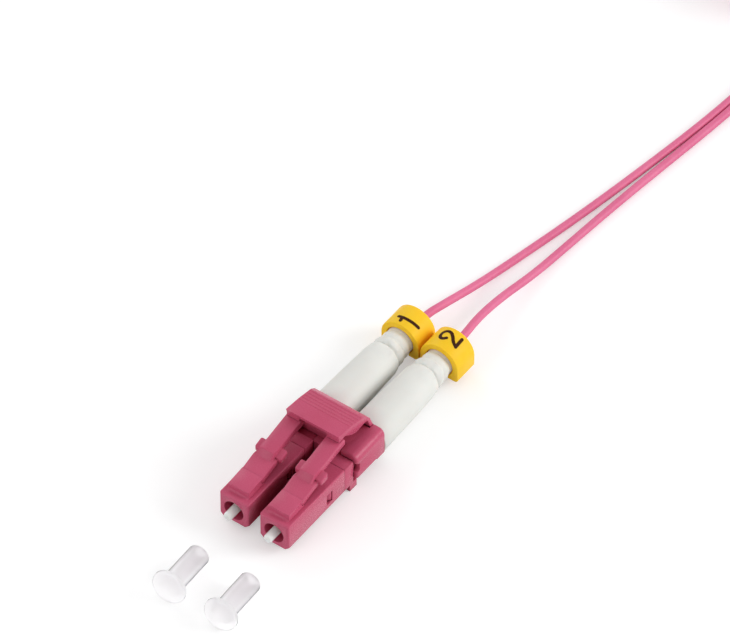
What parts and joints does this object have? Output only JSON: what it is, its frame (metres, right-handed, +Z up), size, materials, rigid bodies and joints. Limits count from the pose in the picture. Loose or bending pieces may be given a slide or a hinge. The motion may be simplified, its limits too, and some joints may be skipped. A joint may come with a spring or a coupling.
{
  "type": "duplex_fibre_connector_pigtail",
  "caption": "Duplex fibre connector pigtail: two latching plugs in a clip with a finger trigger, number rings on the boots, dust caps taken off and a coiled pair of thin cords",
  "frame": {"origin": "midway between the two ferrule axes, in the plane of the plug noses", "axes": "X across the two plugs, Y back from the noses to the cords, Z up with the latches on top"},
  "size_m": [0.0199, 0.148, 0.0102],
  "materials": {
    "housing_plastic": "satin moulded, erika-violet pink",
    "boot_plastic": "soft pale grey-white",
    "ring_plastic": "satin moulded yellow",
    "cap_plastic": "translucent natural white",
    "ferrule_ceramic": "polished zirconia",
    "holder_metal": "turned, nickel-plated",
    "spring_steel": "drawn wire",
    "crimp_metal": "nickel-plated sleeve",
    "cord_jacket": "smooth extruded jacket, pink",
    "buffer_plastic": "tight buffer, white",
    "tie_fabric": "woven hook-and-loop band, dark grey"
  },
  "bodies": {
    "connector_body": {"plug_housing_1": "housing_plastic", "plug_housing_2": "housing_plastic", "rear_body_1": "housing_plastic", "rear_body_2": "housing_plastic", "ferrule_spring_1": "spring_steel", "ferrule_spring_2": "spring_steel", "crimp_sleeve_1": "crimp_metal", "crimp_sleeve_2": "crimp_metal", "boot_1": "boot_plastic", "boot_2": "boot_plastic", "marker_ring_1": "ring_plastic", "marker_ring_2": "ring_plastic", "duplex_clip": "housing_plastic", "dust_cap_1": "cap_plastic", "dust_cap_2": "cap_plastic", "cord_end_1": "cord_jacket", "cord_end_2": "cord_jacket", "cord_leg_1": "cord_jacket", "cord_leg_2": "cord_jacket", "cord_coil": "cord_jacket", "coil_tie": "tie_fabric"},
    "trigger": {"clip_trigger": "housing_plastic"},
    "latch_1": {"latch_lever_1": "housing_plastic"},
    "latch_2": {"latch_lever_2": "housing_plastic"},
    "ferrule_set_1": {"ferrule_1": "ferrule_ceramic", "ferrule_holder_1": "holder_metal", "fibre_buffer_1": "buffer_plastic"},
    "ferrule_set_2": {"ferrule_2": "ferrule_ceramic", "ferrule_holder_2": "holder_metal", "fibre_buffer_2": "buffer_plastic"}
  },
  "joints": [
    {"name": "trigger_press", "type": "hinge", "parent": "connector_body", "child": "trigger", "pos_m": [0, 0.0196, 0.00305], "axis": [1, 0, 0], "range_deg": [0, 14], "stiffness_Nm_per_rad": 0.14},
    {"name": "latch_1_flex", "type": "hinge", "parent": "connector_body", "child": "latch_1", "pos_m": [-0.00313, 0.0043, 0.00302], "axis": [1, 0, 0], "range_deg": [-12.5, 0]},
    {"name": "latch_2_flex", "type": "hinge", "parent": "connector_body", "child": "latch_2", "pos_m": [0.00313, 0.0043, 0.00302], "axis": [1, 0, 0], "range_deg": [-12.5, 0]},
    {"name": "ferrule_1_retract", "type": "slide", "parent": "connector_body", "child": "ferrule_set_1", "axis": [0, 1, 0], "range_m": [0, 0.001], "stiffness_N_per_m": 1000, "deforming": ["ferrule_spring_1"]},
    {"name": "ferrule_2_retract", "type": "slide", "parent": "connector_body", "child": "ferrule_set_2", "axis": [0, 1, 0], "range_m": [0, 0.001], "stiffness_N_per_m": 1000, "deforming": ["ferrule_spring_2"]}
  ],
  "couplings": [
    {"joint": "latch_1_flex", "follows": "trigger_press", "ratio": -0.88},
    {"joint": "latch_2_flex", "follows": "trigger_press", "ratio": -0.88}
  ]
}
